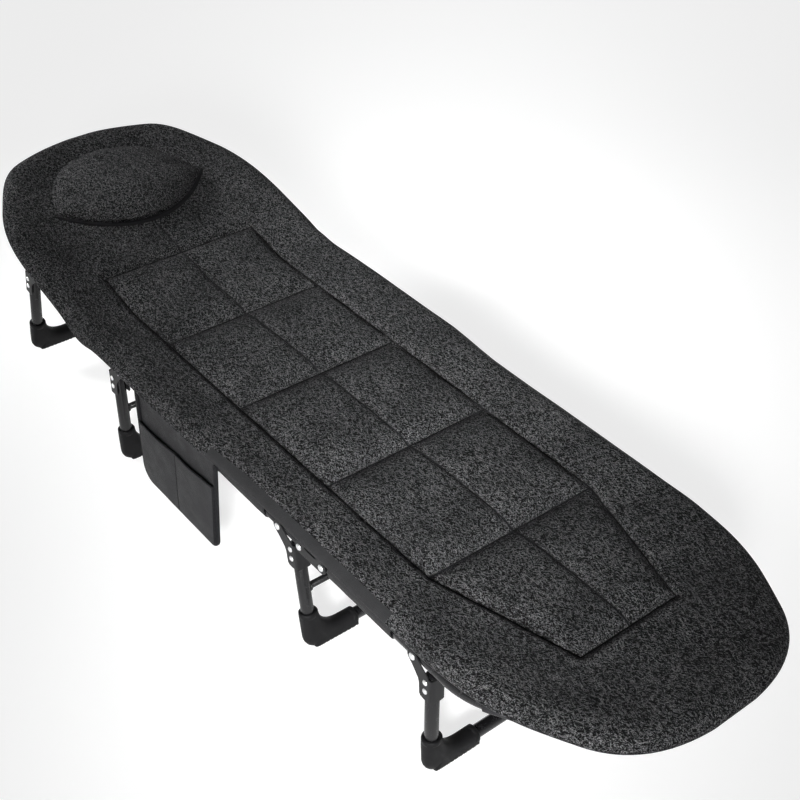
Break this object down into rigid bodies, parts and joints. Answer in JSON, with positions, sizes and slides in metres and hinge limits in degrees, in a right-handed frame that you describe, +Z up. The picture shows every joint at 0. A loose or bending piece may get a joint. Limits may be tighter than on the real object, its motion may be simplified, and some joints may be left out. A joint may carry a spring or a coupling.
{
  "type": "folding cot",
  "caption": "Folding cot with a quilted mat on a hinged black steel tube frame, folding U-shaped legs, ratcheting backrest, sewn-on pillow and side pocket.",
  "frame": {"origin": "floor level, under the middle of the whole cot as it stands with the backrest in its first notch", "axes": "+X towards the foot end, +Y towards the side without the pocket, +Z up from the floor"},
  "size_m": [1.8486, 0.572, 0.3878],
  "materials": {
    "tube": "semi-gloss black powder coat",
    "plate": "satin black powder coat on pressed steel",
    "rivet": "bright zinc-plated rivet",
    "zinc": "zinc-plated steel",
    "plastic": "matte black moulded plastic",
    "mat_fabric": "black-grey melange polyester, quilted",
    "pillow_fabric": "black-grey melange polyester",
    "oxford": "dark grey smooth oxford cloth",
    "webbing": "black woven webbing"
  },
  "bodies": {
    "mid": {"mid_rail_left": "tube", "mid_rail_cap_left": "plastic", "hinge_mid_arm_left": "zinc", "hinge_ratchet_left": "zinc", "link_mid_rivet_left": "rivet", "storage_strap_left": "webbing", "leg_b_rivet_left": "rivet", "leg_c_rivet_left": "rivet", "mid_rail_right": "tube", "mid_rail_cap_right": "plastic", "hinge_mid_arm_right": "zinc", "hinge_ratchet_right": "zinc", "link_mid_rivet_right": "rivet", "storage_strap_right": "webbing", "leg_b_rivet_right": "rivet", "leg_c_rivet_right": "rivet", "mat_middle": "mat_fabric", "pocket_back": "oxford", "pocket_front": "oxford"},
    "head": {"hinge_head_arm_left": "zinc", "leg_a_rivet_left": "rivet", "hinge_head_arm_right": "zinc", "leg_a_rivet_right": "rivet", "head_frame": "tube", "mat_head": "mat_fabric", "pillow": "pillow_fabric"},
    "fold_links": {"fold_link_left": "plate", "fold_link_right": "plate"},
    "foot": {"foot_frame_cap_left": "plastic", "link_foot_rivet_left": "rivet", "leg_d_rivet_left": "rivet", "foot_frame_cap_right": "plastic", "link_foot_rivet_right": "rivet", "leg_d_rivet_right": "rivet", "foot_frame": "tube", "mat_foot": "mat_fabric"},
    "leg_a": {"leg_a_foot_left": "plastic", "leg_a_bracket_left": "plate", "leg_a_foot_right": "plastic", "leg_a_bracket_right": "plate", "leg_a_tube": "tube"},
    "leg_b": {"leg_b_foot_left": "plastic", "leg_b_bracket_left": "plate", "leg_b_foot_right": "plastic", "leg_b_bracket_right": "plate", "leg_b_tube": "tube", "leg_b_brace": "tube"},
    "leg_c": {"leg_c_foot_left": "plastic", "leg_c_bracket_left": "plate", "leg_c_foot_right": "plastic", "leg_c_bracket_right": "plate", "leg_c_tube": "tube", "leg_c_brace": "tube"},
    "leg_d": {"leg_d_foot_left": "plastic", "leg_d_bracket_left": "plate", "leg_d_foot_right": "plastic", "leg_d_bracket_right": "plate", "leg_d_tube": "tube"}
  },
  "joints": [
    {"name": "backrest", "type": "hinge", "parent": "mid", "child": "head", "pos_m": [-0.406, 0, 0.254], "axis": [0, 1, 0], "range_deg": [-12, 168], "deforming": ["pillow"]},
    {"name": "link_fold", "type": "hinge", "parent": "mid", "child": "fold_links", "pos_m": [0.288, 0, 0.226], "axis": [0, -1, 0], "range_deg": [0, 90]},
    {"name": "foot_fold", "type": "hinge", "parent": "fold_links", "child": "foot", "pos_m": [0.346, 0, 0.226], "axis": [0, -1, 0], "range_deg": [0, 77]},
    {"name": "leg_a_fold", "type": "hinge", "parent": "head", "child": "leg_a", "pos_m": [-0.60354, 0, 0.26736], "axis": [0, -1, 0], "range_deg": [0, 90]},
    {"name": "leg_b_fold", "type": "hinge", "parent": "mid", "child": "leg_b", "pos_m": [-0.281, 0, 0.226], "axis": [0, -1, 0], "range_deg": [0, 90]},
    {"name": "leg_c_fold", "type": "hinge", "parent": "mid", "child": "leg_c", "pos_m": [0.229, 0, 0.226], "axis": [0, 1, 0], "range_deg": [0, 99]},
    {"name": "leg_d_fold", "type": "hinge", "parent": "foot", "child": "leg_d", "pos_m": [0.568, 0, 0.226], "axis": [0, 1, 0], "range_deg": [0, 91]}
  ]
}
